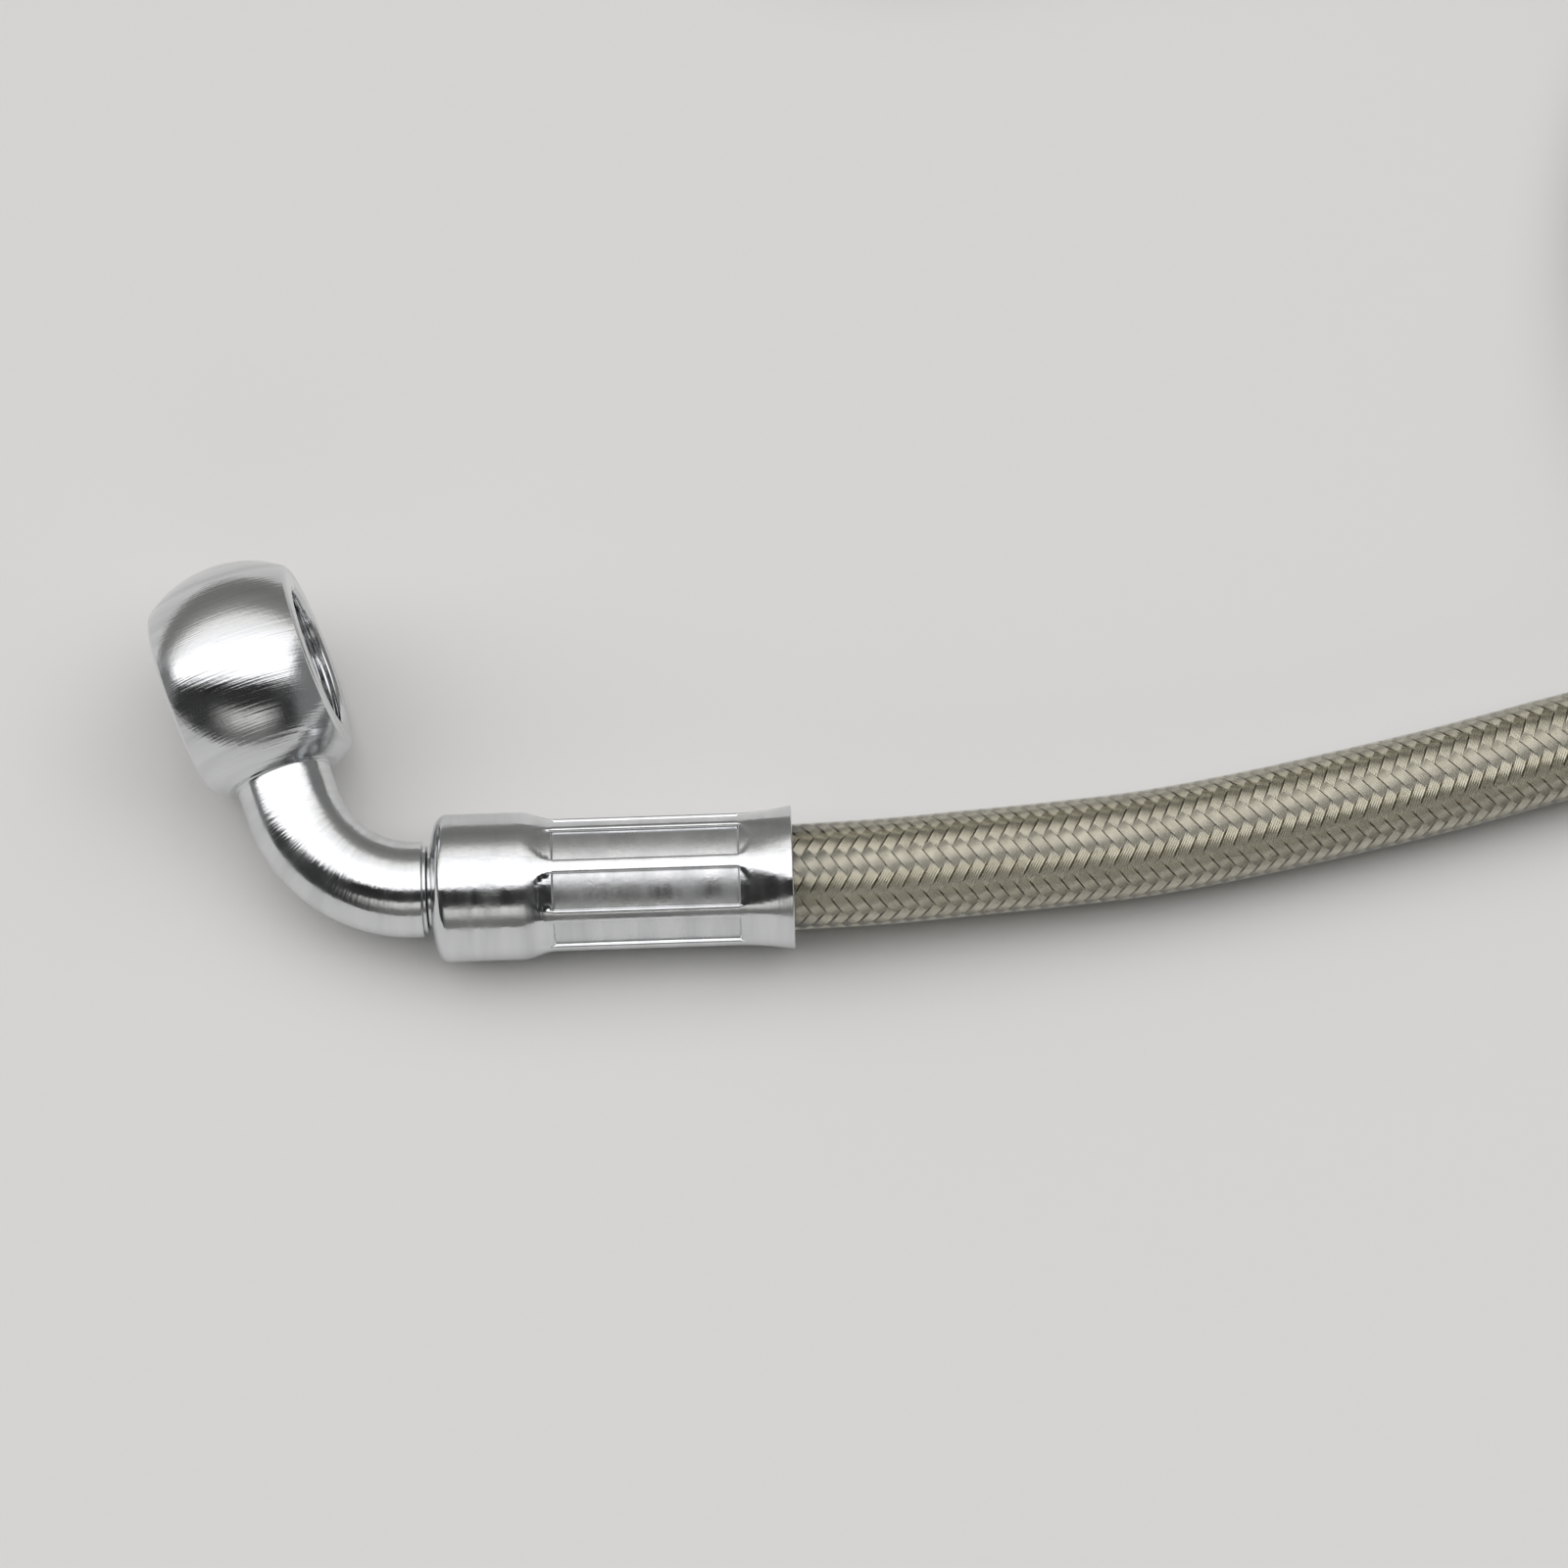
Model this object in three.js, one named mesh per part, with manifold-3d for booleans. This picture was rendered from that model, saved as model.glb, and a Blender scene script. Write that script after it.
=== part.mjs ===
// Brake hose: a braided hose in a clear jacket, crimped into a bent banjo fitting and a straight one.
// Millimetres, with Z up. The bent fitting's ferrule points along X, and the origin lies under its middle.
import * as THREE from 'three';
import { mergeVertices } from 'three/addons/utils/BufferGeometryUtils.js';
import Module from 'manifold-3d';

const wasm = await Module();
wasm.setup();

const rad = THREE.MathUtils.degToRad;

// Banjo eye, a turned ball between two flat sealing faces
const ballRadius = 8.5;
const ballCrown = 8.2;
const ballFoot = 7.5;
const eyeWidth = 10.4;
const boreRadius = 5.0;
const boreChamfer = 0.25;

// Neck, from the ball's foot to the ferrule
const neckRadius = 3.4;
const passageRadius = 1.1;
const bendAngle = rad(72.7);
const bendRadius = 9.0;
const cornerToEye = 16.3;
const cornerToFerrule = 7.8;
const eyeTwist = rad(6.6);
const straightEyeToFerrule = 13.5;

// Clear space between faces that meet, and between round layers
const faceGap = 0.3;
const layerGap = 0.05;

// Stem, turned on the neck's end and held in the ferrule
const recessRadius = 3.1;
const recessLength = 0.3;
const stemRoot = 2.0;
const grooveRadius = 2.6;
const shoulderRadius = 3.2;
const shoulderLength = 1.1;
const barbRadius = 1.9;
const barbDepth = 0.15;
const barbPitch = 2.5;
const barbCount = 6;
const barbStart = 5.0;
const nippleTip = 21.5;

// Ferrule, measured from its closed end
const ferruleLength = 25.4;
const endWall = 2.0;
const endWallGap = 0.35;
const collarRadius = 5.2;
const collarShoulder = 1.1;
const collarEnd = 6.6;
const crimpStart = 8.5;
const crimpEnd = 21.7;
const ridgeCount = 8;
const ridgeTurn = rad(8);
const ridgeRadius = 4.77;
const ridgeWidth = 1.1;
const ridgeCrest = 0.6;
const panelRadius = 4.42;
const panelStep = 0.2;
const rimRadius = 5.07;
const rimEdge = 0.12;
const flareCurve = 1.4;
const shellClearance = 0.2;

// Hose layers, from the inside out
const linerBore = 1.6;
const linerRadius = 2.4;
const braidRadius = 3.0;
const hoseRadius = 3.75;
const squeezedRadius = 3.4;
const squeezeRunOut = 1.0;
const layerStart = 3.6;
const hoseInMouth = 1.2;

// Coil of the spare hose: turns side by side on two levels, under a tie
const coilRadius = 37.5;
const coilLayers = 2;
const coilCentre = new THREE.Vector2(102.6, 50.5);
const tieThickness = 0.8;
const tieWidth = 8;
const tieTurn = rad(12);

// Hose route, in millimetres from the middle of the near ferrule's mouth, with heights above the floor
const farMouth = new THREE.Vector3(50.6, 88.0, Math.max(collarRadius, eyeWidth / 2));
const freeRoute = [
  [-hoseInMouth, 0.0, collarRadius], [6.0, 0.2, 5.15], [12.45, 0.73, 4.95], [19.0, 1.35, 4.65],
  [25.15, 2.1, 4.35], [31.5, 3.25, 4.1], [37.9, 4.62, 3.9], [46.5, 6.55, 3.82], [55.0, 8.7, 3.8],
  [65.0, 11.0, 3.8], [78.7, 12.93, 3.8],
];
const tailRoute = [
  [78.2, 88.0, 8.51], [70.0, 88.0, 7.1], [62.0, 88.0, 5.94], [55.0, 88.0, 5.33],
  [farMouth.x - hoseInMouth, farMouth.y, farMouth.z],
];

// Facets
const eyeSegments = 40;
const neckSegments = 24;
const passageSegments = 8;
const stemSegments = 20;
const arcSteps = 6;
const bendSteps = 12;
const straightSteps = 2;
const roundSteps = 4;
const descentSteps = 3;
const flareSteps = 2;
const hoseSegments = 12;
const freeSteps = 8;
const tailSteps = 3;
const coilSegments = 48;

const materials = {
  zinc: new THREE.MeshStandardMaterial({ color: 0xc9cdd0, roughness: 0.22, metalness: 1.0 }),
  liner: new THREE.MeshStandardMaterial({ color: 0xf0eee6, roughness: 0.45, metalness: 0.0 }),
  braid: new THREE.MeshStandardMaterial({ color: 0xa8a58c, roughness: 0.35, metalness: 1.0 }),
  jacket: new THREE.MeshStandardMaterial({ color: 0xb9b79c, roughness: 0.15, metalness: 0.0 }),
  tie: new THREE.MeshStandardMaterial({ color: 0x202124, roughness: 0.8, metalness: 0.0 }),
};

// Booleans
function toSolid(geometry) {
  const bare = geometry.clone();
  bare.deleteAttribute('normal');
  bare.deleteAttribute('uv');
  const merged = mergeVertices(bare);
  return new wasm.Manifold(new wasm.Mesh({
    numProp: 3,
    vertProperties: new Float32Array(merged.attributes.position.array),
    triVerts: new Uint32Array(merged.index.array),
  }));
}

function toGeometry(solid) {
  const mesh = solid.getMesh();
  const geometry = new THREE.BufferGeometry();
  geometry.setAttribute('position', new THREE.BufferAttribute(new Float32Array(mesh.vertProperties), 3));
  geometry.setIndex(new THREE.BufferAttribute(new Uint32Array(mesh.triVerts), 1));
  geometry.computeVertexNormals();
  return geometry;
}

// A turned solid along X, from a closed outline of [station, radius] points
function turnedAlongX(outline, segments) {
  const profile = outline.map(([station, radius]) => new THREE.Vector2(radius, station));
  return new THREE.LatheGeometry([...profile, profile[0]], segments).rotateZ(-Math.PI / 2);
}

// A round bar of one radius along a curve
function barAlong(curve, radius, segments, steps) {
  const section = new THREE.Shape();
  for (let i = 0; i < segments; i += 1) {
    const angle = (2 * Math.PI * i) / segments;
    const corner = [radius * Math.cos(angle), radius * Math.sin(angle)];
    if (i === 0) section.moveTo(...corner);
    else section.lineTo(...corner);
  }
  section.closePath();
  return new THREE.ExtrudeGeometry(section, { steps, extrudePath: curve, curveSegments: 1 });
}

// Centreline of a neck: out of the eye, round the bend, then along X to a given station
class NeckLine extends THREE.Curve {
  constructor(bend, toEye, startFromEye, endStation) {
    super();
    this.setback = bendRadius * Math.tan(bend / 2);
    this.toEye = new THREE.Vector3(-Math.cos(bend), Math.sin(bend), 0);
    this.inward = new THREE.Vector3(Math.sin(bend), Math.cos(bend), 0);
    this.corner = new THREE.Vector3(-cornerToFerrule, 0, 0);
    this.first = toEye - this.setback - startFromEye;
    this.arc = bendRadius * bend;
    this.last = endStation + cornerToFerrule - this.setback;
  }

  getPoint(t, target = new THREE.Vector3()) {
    const along = t * (this.first + this.arc + this.last);
    target.copy(this.corner);
    if (along <= this.first) {
      return target.addScaledVector(this.toEye, this.setback + this.first - along);
    }
    if (along < this.first + this.arc) {
      const turn = (along - this.first) / bendRadius;
      return target
        .addScaledVector(this.toEye, this.setback - bendRadius * Math.sin(turn))
        .addScaledVector(this.inward, bendRadius * (1 - Math.cos(turn)));
    }
    target.x += this.setback + along - this.first - this.arc;
    return target;
  }
}

// Outline of the stem and its nipple, from inside the neck to the tip
function stemOutline() {
  const nippleRadius = barbRadius - barbDepth;
  const shoulderStart = endWall + faceGap;
  const shoulderEnd = shoulderStart + shoulderLength;
  const barbs = Array.from({ length: barbCount }, (_, i) => barbStart + i * barbPitch);
  return [
    [-stemRoot, 0],
    [-stemRoot, recessRadius],
    [-recessLength, recessRadius],
    [-recessLength, grooveRadius],
    [shoulderStart, grooveRadius],
    [shoulderStart, shoulderRadius],
    [shoulderEnd, shoulderRadius],
    [shoulderEnd, nippleRadius],
    ...barbs.flatMap((barb) => [[barb, barbRadius], [barb + barbPitch / 2, nippleRadius]]),
    [nippleTip - barbDepth, nippleRadius],
    [nippleTip, nippleRadius - barbDepth],
    [nippleTip, 0],
  ];
}

// Outline of the eye across its bore: sealing faces, ball and chamfered bore
function eyeOutline() {
  const halfWidth = eyeWidth / 2;
  const faceAngle = Math.asin(halfWidth / ballRadius);
  const ball = Array.from({ length: arcSteps + 1 }, (_, i) => {
    const angle = faceAngle * ((2 * i) / arcSteps - 1);
    return new THREE.Vector2(ballRadius * Math.cos(angle), ballRadius * Math.sin(angle));
  });
  return [
    new THREE.Vector2(boreRadius, -halfWidth + boreChamfer),
    new THREE.Vector2(boreRadius + boreChamfer, -halfWidth),
    ...ball,
    new THREE.Vector2(boreRadius + boreChamfer, halfWidth),
    new THREE.Vector2(boreRadius, halfWidth - boreChamfer),
    new THREE.Vector2(boreRadius, -halfWidth + boreChamfer),
  ];
}

// A slab that takes off everything beyond a distance from the ball's middle, along the neck or away from it
function slabBeyond(distance, side) {
  const size = 3 * ballRadius;
  const slab = new THREE.BoxGeometry(size, size, size);
  slab.translate(side * (distance + size / 2), 0, 0);
  return slab;
}

// One banjo fitting in its own frame: the ferrule's closed end is at X = 0, and the eye lies towards -X
function banjo(bend, toEye, twist) {
  const towardsEye = new THREE.Vector3(-Math.cos(bend), Math.sin(bend), 0);
  const boreAxis = new THREE.Vector3(Math.sin(bend), Math.cos(bend), 0).applyAxisAngle(towardsEye, -twist);
  const eyeFrame = new THREE.Matrix4()
    .makeBasis(towardsEye, boreAxis, towardsEye.clone().cross(boreAxis))
    .setPosition(towardsEye.clone().multiplyScalar(toEye).add(new THREE.Vector3(-cornerToFerrule, 0, 0)));

  const ball = toSolid(new THREE.LatheGeometry(eyeOutline(), eyeSegments).applyMatrix4(eyeFrame));
  const crown = toSolid(slabBeyond(ballCrown, 1).applyMatrix4(eyeFrame));
  const foot = toSolid(slabBeyond(ballFoot, -1).applyMatrix4(eyeFrame));
  const eye = ball.subtract(crown).subtract(foot);

  const neckEnd = -2 * recessLength;
  const inEyeWall = (boreRadius + ballFoot) / 2;
  const neckSteps = bend > 0 ? bendSteps : straightSteps;
  const neckLine = new NeckLine(bend, toEye, inEyeWall, neckEnd);
  const neck = toSolid(barAlong(neckLine, neckRadius, neckSegments, neckSteps));
  const stem = toSolid(turnedAlongX(stemOutline(), stemSegments));

  const passageLine = new NeckLine(bend, toEye, boreRadius - passageRadius, recessLength);
  const bentPassage = toSolid(barAlong(passageLine, passageRadius, passageSegments, neckSteps));
  const straightPassage = toSolid(turnedAlongX(
    [[0, 0], [0, passageRadius], [nippleTip + faceGap, passageRadius], [nippleTip + faceGap, 0]],
    passageSegments,
  ));
  return toGeometry(eye.add(neck).add(stem).subtract(bentPassage).subtract(straightPassage));
}

// Spokes round the ferrule, six to each ridge: two on its crest, one at each foot and two on the panel
const crestHalf = ridgeCrest / 2 / ridgeRadius;
const ridgeFoot = ridgeWidth / 2 / ridgeRadius;
const ridgePitch = (2 * Math.PI) / ridgeCount;
const panelThird = (ridgePitch - 2 * ridgeFoot) / 3;
const spokes = Array.from({ length: ridgeCount }, (_, i) => ridgeTurn + i * ridgePitch).flatMap((ridge) => [
  { angle: ridge - crestHalf, onRidge: true },
  { angle: ridge + crestHalf, onRidge: true },
  { angle: ridge + ridgeFoot, onRidge: false },
  { angle: ridge + ridgeFoot + panelThird, onRidge: false },
  { angle: ridge + ridgeFoot + 2 * panelThird, onRidge: false },
  { angle: ridge + ridgePitch - ridgeFoot, onRidge: false },
]);

// A closed shell round X: each row is [station, radius] or [station, panel radius, ridge radius]
function shellOfRows(rows) {
  const positions = [];
  rows.forEach(([station, panel, ridge = panel]) => spokes.forEach(({ angle, onRidge }) => {
    const radius = onRidge ? ridge : panel;
    positions.push(station, -radius * Math.sin(angle), radius * Math.cos(angle));
  }));
  const index = [];
  rows.forEach((_, row) => {
    const here = row * spokes.length;
    const next = ((row + 1) % rows.length) * spokes.length;
    spokes.forEach((__, spoke) => {
      const beside = (spoke + 1) % spokes.length;
      index.push(here + spoke, here + beside, next + beside);
      index.push(here + spoke, next + beside, next + spoke);
    });
  });
  const geometry = new THREE.BufferGeometry();
  geometry.setAttribute('position', new THREE.Float32BufferAttribute(positions, 3));
  geometry.setIndex(index);
  geometry.computeVertexNormals();
  return geometry;
}

// Crimped ferrule: round collar, ridged crimp and flared mouth, with its bore
function ferrule() {
  const wallBore = grooveRadius + endWallGap;
  const cavity = hoseRadius + shellClearance;
  const crimpBore = squeezedRadius + shellClearance;
  const descent = crimpStart - collarEnd;
  const flare = ferruleLength - crimpEnd;
  const panelEdge = panelRadius + panelStep;
  const shoulder = Array.from({ length: roundSteps + 1 }, (_, i) => {
    const angle = (Math.PI / 2) * (i / roundSteps);
    const drop = (collarRadius - wallBore - panelStep) * (1 - Math.sin(angle));
    return [collarShoulder * (1 - Math.cos(angle)), collarRadius - drop];
  });
  const runDown = Array.from({ length: descentSteps }, (_, i) => {
    const share = i / descentSteps;
    const eased = THREE.MathUtils.smoothstep(share, 0, 1);
    const panel = THREE.MathUtils.lerp(collarRadius, panelEdge, eased);
    return [collarEnd + share * descent, panel, THREE.MathUtils.lerp(collarRadius, ridgeRadius, eased)];
  });
  const runOut = Array.from({ length: flareSteps }, (_, i) => {
    const share = i / flareSteps;
    const swell = share ** flareCurve;
    const panel = THREE.MathUtils.lerp(panelEdge, rimRadius, swell);
    return [crimpEnd + share * flare, panel, THREE.MathUtils.lerp(ridgeRadius, rimRadius, swell)];
  });
  return shellOfRows([
    ...shoulder,
    ...runDown,
    [crimpStart, panelEdge, ridgeRadius],
    [crimpStart + panelStep, panelRadius, ridgeRadius],
    [crimpEnd - panelStep, panelRadius, ridgeRadius],
    ...runOut,
    [ferruleLength - rimEdge, rimRadius],
    [ferruleLength, rimRadius - rimEdge],
    [ferruleLength, cavity + shellClearance],
    [crimpEnd, crimpBore + panelStep],
    [crimpEnd - panelStep, crimpBore],
    [crimpStart + panelStep, crimpBore],
    [collarEnd, cavity],
    [endWall, cavity],
    [endWall, wallBore],
  ]);
}

// Hose layers inside a ferrule, squeezed by the crimp and meeting the free hose just inside its mouth
const layerEnd = ferruleLength - hoseInMouth - faceGap;

function linerEnd() {
  const overNipple = barbRadius + layerGap;
  return shellOfRows([
    [layerStart, linerRadius],
    [layerEnd, linerRadius],
    [layerEnd, linerBore],
    [nippleTip + 2 * faceGap, linerBore],
    [nippleTip + faceGap, overNipple],
    [layerStart, overNipple],
  ]);
}

function braidEnd() {
  return shellOfRows([
    [layerStart, braidRadius - layerGap],
    [layerEnd, braidRadius - layerGap],
    [layerEnd, linerRadius + layerGap],
    [layerStart, linerRadius + layerGap],
  ]);
}

function jacketEnd() {
  return shellOfRows([
    [layerStart, hoseRadius],
    [collarEnd, hoseRadius],
    [crimpStart + panelStep, squeezedRadius],
    [crimpEnd - panelStep, squeezedRadius],
    [crimpEnd + squeezeRunOut, hoseRadius],
    [layerEnd, hoseRadius],
    [layerEnd, braidRadius],
    [layerStart, braidRadius],
  ]);
}

// Free hose between the near ferrule and the coil, and between the coil and the far ferrule
function hoseAlong(points, steps) {
  const curve = new THREE.CatmullRomCurve3(points.map((point) => new THREE.Vector3(...point)));
  return barAlong(curve, hoseRadius, hoseSegments, steps);
}

// An upright oval across the coil, from a bottom to a top height
function oval(radius, bottom, top) {
  const arc = (start, height) => Array.from({ length: arcSteps + 1 }, (_, i) => {
    const angle = start + (Math.PI * i) / arcSteps;
    return new THREE.Vector2(radius * Math.cos(angle), height + radius * Math.sin(angle));
  });
  return [...arc(Math.PI, bottom + radius), ...arc(0, top - radius)];
}

// A straight band across the coil at the tie, between two ovals
function bandAtTie(outside, inside, width) {
  const outline = new THREE.Shape(outside);
  outline.holes.push(new THREE.Path(inside));
  return new THREE.ExtrudeGeometry(outline, { depth: width, bevelEnabled: false })
    .translate(0, 0, -width / 2)
    .rotateX(Math.PI / 2)
    .translate(coilRadius, 0, 0)
    .rotateZ(tieTurn);
}

const coilHeight = 2 * hoseRadius * coilLayers;
const tieBore = hoseRadius + faceGap;
const tieOutside = tieBore + tieThickness;

// The coil's turns as one ring, lifted and straightened where the tie passes under it
function coil() {
  const section = oval(hoseRadius, 0, coilHeight);
  const profile = section.map((point) => new THREE.Vector2(coilRadius + point.x, point.y));
  const ring = new THREE.LatheGeometry([...profile, profile[0]], coilSegments).rotateX(Math.PI / 2);
  const outside = oval(tieOutside, -tieThickness, coilHeight + tieThickness);
  const kept = oval(hoseRadius, tieThickness + faceGap, coilHeight);
  const groove = toSolid(bandAtTie(outside, kept, tieWidth + 2 * faceGap));
  return toGeometry(toSolid(ring).subtract(groove));
}

function tie() {
  const outside = oval(tieOutside, 0, coilHeight + faceGap + tieThickness);
  const inside = oval(tieBore, tieThickness, coilHeight + faceGap);
  return bandAtTie(outside, inside, tieWidth);
}

// Assembly
function named(name, geometry, material) {
  const mesh = new THREE.Mesh(geometry, material);
  mesh.name = name;
  return mesh;
}

// A crimped end: the banjo turned about its stem, with the ferrule and the hose layers round the stem
function crimpedEnd(side, banjoGeometry, banjoTurn) {
  const group = new THREE.Group();
  const fitting = named(`${side}_banjo`, banjoGeometry, materials.zinc);
  fitting.rotation.x = banjoTurn;
  group.add(
    fitting,
    named(`${side}_ferrule`, ferrule(), materials.zinc),
    named(`${side}_liner_end`, linerEnd(), materials.liner),
    named(`${side}_braid_end`, braidEnd(), materials.braid),
    named(`${side}_jacket_end`, jacketEnd(), materials.jacket),
  );
  return group;
}

// The bent end lies on its collar and its ball, so the eye is rolled up by what the ball is larger
const eyeReach = cornerToEye * Math.sin(bendAngle);
const nearRoll = Math.asin((ballRadius - collarRadius) / eyeReach);
const nearEnd = crimpedEnd('near', banjo(bendAngle, cornerToEye, eyeTwist), nearRoll);
nearEnd.position.set(-ferruleLength, 0, collarRadius);

// The straight end lies on a sealing face
const farEnd = crimpedEnd('far', banjo(0, straightEyeToFerrule - cornerToFerrule, 0), Math.PI / 2);
farEnd.position.set(farMouth.x - ferruleLength, farMouth.y, farMouth.z);

const coilMesh = named('hose_coil', coil(), materials.jacket);
const tieMesh = named('coil_tie', tie(), materials.tie);
coilMesh.position.set(coilCentre.x, coilCentre.y, 0);
tieMesh.position.set(coilCentre.x, coilCentre.y, 0);

const layout = new THREE.Group();
layout.add(
  nearEnd,
  named('hose_free', hoseAlong(freeRoute, freeSteps), materials.jacket),
  coilMesh,
  tieMesh,
  named('hose_tail', hoseAlong(tailRoute, tailSteps), materials.jacket),
  farEnd,
);

const nearBox = new THREE.Box3().setFromObject(nearEnd, true);
const nearMiddle = nearBox.getCenter(new THREE.Vector3());
layout.position.set(-nearMiddle.x, -nearMiddle.y, 0);

const assembly = new THREE.Group();
assembly.add(layout);
export default assembly;
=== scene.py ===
import math

import bpy
import numpy as np
from mathutils import Matrix, Vector


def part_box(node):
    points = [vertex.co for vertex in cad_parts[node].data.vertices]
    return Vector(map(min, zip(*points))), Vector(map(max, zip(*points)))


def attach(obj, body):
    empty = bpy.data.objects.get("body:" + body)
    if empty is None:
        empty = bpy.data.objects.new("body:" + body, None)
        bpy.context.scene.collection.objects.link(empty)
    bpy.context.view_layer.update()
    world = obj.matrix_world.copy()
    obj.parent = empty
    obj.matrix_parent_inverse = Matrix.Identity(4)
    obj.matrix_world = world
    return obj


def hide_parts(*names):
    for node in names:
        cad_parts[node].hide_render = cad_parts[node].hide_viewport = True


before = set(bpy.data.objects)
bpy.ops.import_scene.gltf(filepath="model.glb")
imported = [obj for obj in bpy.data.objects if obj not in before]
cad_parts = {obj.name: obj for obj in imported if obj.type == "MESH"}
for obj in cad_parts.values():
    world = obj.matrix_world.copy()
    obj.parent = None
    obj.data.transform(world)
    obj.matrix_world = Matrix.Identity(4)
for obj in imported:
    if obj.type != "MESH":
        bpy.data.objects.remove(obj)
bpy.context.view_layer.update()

MM = 0.001
TURN = 2 * math.pi

# Ball, neck and stem, in millimetres
BALL_RADIUS = 8.5
BALL_CROWN = 8.2
BALL_FOOT = 7.5
EYE_WIDTH = 10.4
BORE_RADIUS = 5.0
BORE_CHAMFER = 0.25
NECK_RADIUS = 3.4
PASSAGE_RADIUS = 1.1
BEND = math.radians(72.7)
BEND_RADIUS = 9.0
CORNER_TO_EYE = 16.3
CORNER_TO_FERRULE = 7.8
EYE_TWIST = math.radians(6.6)
STRAIGHT_EYE_TO_FERRULE = 13.5
RECESS_RADIUS = 3.1
RECESS_LENGTH = 0.3
GROOVE_RADIUS = 2.6
SHOULDER_START = 2.3
SHOULDER_END = 3.4
SHOULDER_RADIUS = 3.2
NIPPLE_RADIUS = 1.75
BARB_RADIUS = 1.9
BARB_START = 5.0
BARB_PITCH = 2.5
BARB_COUNT = 6
NIPPLE_TIP = 21.5
TIP_CHAMFER = 0.15

# How the fittings are cut and rounded
BALL_STEPS = 60
TURNED_SEGMENTS = 128
TURNED_STEP = 0.35
TURNED_CORNER = 0.12
BORED_SEGMENTS = 144
BORED_STEP = 0.6
BORED_CORNER = 0.05
PASSAGE_SEGMENTS = 32
PASSAGE_STEP = 0.8
PASSAGE_START = 2.5
PAST_TIP = 1.0
MOST_OF_SIDE = 0.45
FACE_EDGE_INSIDE = 0.16
FACE_EDGE_OUTSIDE = 0.12
FACE_EDGE_DROP = 0.2
PAST_BALL = 1.0
ABOVE_FACE = 4.0
NEAR_AXIS = 0.02
SHARP_TURNED = math.radians(38)
SHARP_PRESSED = math.radians(40)

# Ferrule, from its closed end
FERRULE_LENGTH = 25.4
COLLAR_RADIUS = 5.2
COLLAR_SHOULDER = 1.1
COLLAR_END = 6.6
CRIMP_START = 8.5
CRIMP_END = 21.7
RIDGES = 8
RIDGE_TURN = math.radians(8)
RIDGE_RADIUS = 4.77
PANEL_RADIUS = 4.42
PANEL_CURVE_RADIUS = 6.0
PANEL_MIDDLE = 1.87
PANEL_BOW = 0.02
PANEL_END_STEP = 0.17
RIDGE_HALF_WIDTH = 0.53
RIDGE_FULLNESS = 4.0
LOBE_HALF_WIDTH = 1.75
RIM_RADIUS = 5.07
RIM_EDGE = 0.12
FLARE_CURVE = 1.4
END_WALL = 2.0
END_FACE_RING = 0.35
WALL_BORE = 2.95
CAVITY_RADIUS = 3.95
CRIMP_BORE = 3.6
MOUTH_BORE = 4.15
MOUTH_CHAMFER = 0.1
BORE_FLARE = 0.15
BORE_EASE = 0.3

# Rows and columns of the ferrule's mesh
SHOULDER_ROWS = 13
COLLAR_ROWS = 12
COLLAR_FROM = 1.6
RUN_DOWN_ROWS = 26
RUN_DOWN_PAST = 0.3
RUN_DOWN_FROM = 0.05
RIDGE_NARROWS = 1.05
STEP_ROWS = 5
STEP_FROM = 0.2
PANEL_ROWS = 26
FLARE_ROWS = 24
FLARE_TO = 0.97
RIDGE_WIDENS = 3.2
RIM_ROWS = 6
ROW_GAP = 0.4
RIDGE_COLUMNS = 19
PANEL_COLUMNS = 14
ROUNDING = 1e-6

# Hose
HOSE_RADIUS = 3.75
BRAID_RADIUS = 2.86
LINER_RADIUS = 2.5
IN_MOUTH = 1.2
CARRIERS = 12
BRAID_LEAD = 12.7
WIRES = 5
WIRE_PITCH = 0.162
WIRE_PLACES = (-0.5, -0.28, 0.0, 0.28)
WIRE_SINK = 0.25
FLAT_STRAND = (-0.02, 0.03, -0.02)
WEAVE_DEPTH = 0.13
WAVE_CROSSINGS = 4
SEEN_HOSE = 66.0
LAP = 0.3
SEEN_STEPS = 8
REST_STEPS = 6
LINER_STEP = 2.0
LINER_SEGMENTS = 24
JACKET_STEP = 1.2
JACKET_SEGMENTS = 64

# Coil and tie
COIL_RADIUS = 37.5
COIL_STEPS = 130
LAYER_STEP = 7.5
FLOOR_LAYER = 3.8
COIL_ENTRY = math.radians(-94)
COIL_EXIT = math.radians(450)
CLIMB_START = math.radians(165)
CLIMB_END = math.radians(245)
TIE_TURN = math.radians(12)
TIE_WIDTH = 8.0
TIE_THICKNESS = 0.8
TIE_CLEARANCE = 0.05
TIE_LIFT = 1.0
TIE_LIFT_SPREAD = math.radians(45)
TIE_STEPS = 24
TIE_ABOVE_FLOOR = 0.02
TIE_SECTION = ((-0.5, 0.0), (-0.5, 0.7), (-0.46, 0.8), (0.46, 0.8), (0.5, 0.7), (0.5, 0.0))

# Hose route, from the middle of the near ferrule's mouth, in millimetres above the floor
FREE_ROUTE = [
    (0.0, 0.0, 5.2), (6.0, 0.2, 5.15), (12.45, 0.73, 4.95), (19.0, 1.35, 4.65), (25.15, 2.1, 4.35),
    (31.5, 3.25, 4.1), (37.9, 4.62, 3.9), (46.5, 6.55, 3.82), (55.0, 8.7, 3.8), (65.0, 11.0, 3.8),
    (78.7, 12.93, 3.8), (86.0, 13.4, 3.8), (93.0, 13.4, 3.8),
]
TAIL_ROUTE = [
    (95.0, 88.0, 10.95), (87.0, 88.0, 9.94), (78.2, 88.0, 8.51), (70.0, 88.0, 7.1), (62.0, 88.0, 5.94),
    (55.0, 88.0, 5.33), (50.6, 88.0, 5.2),
]
COIL_CENTRE = (102.6, 50.5)
CURVE_STEPS = 12
LINE_STEP = 0.5

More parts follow.
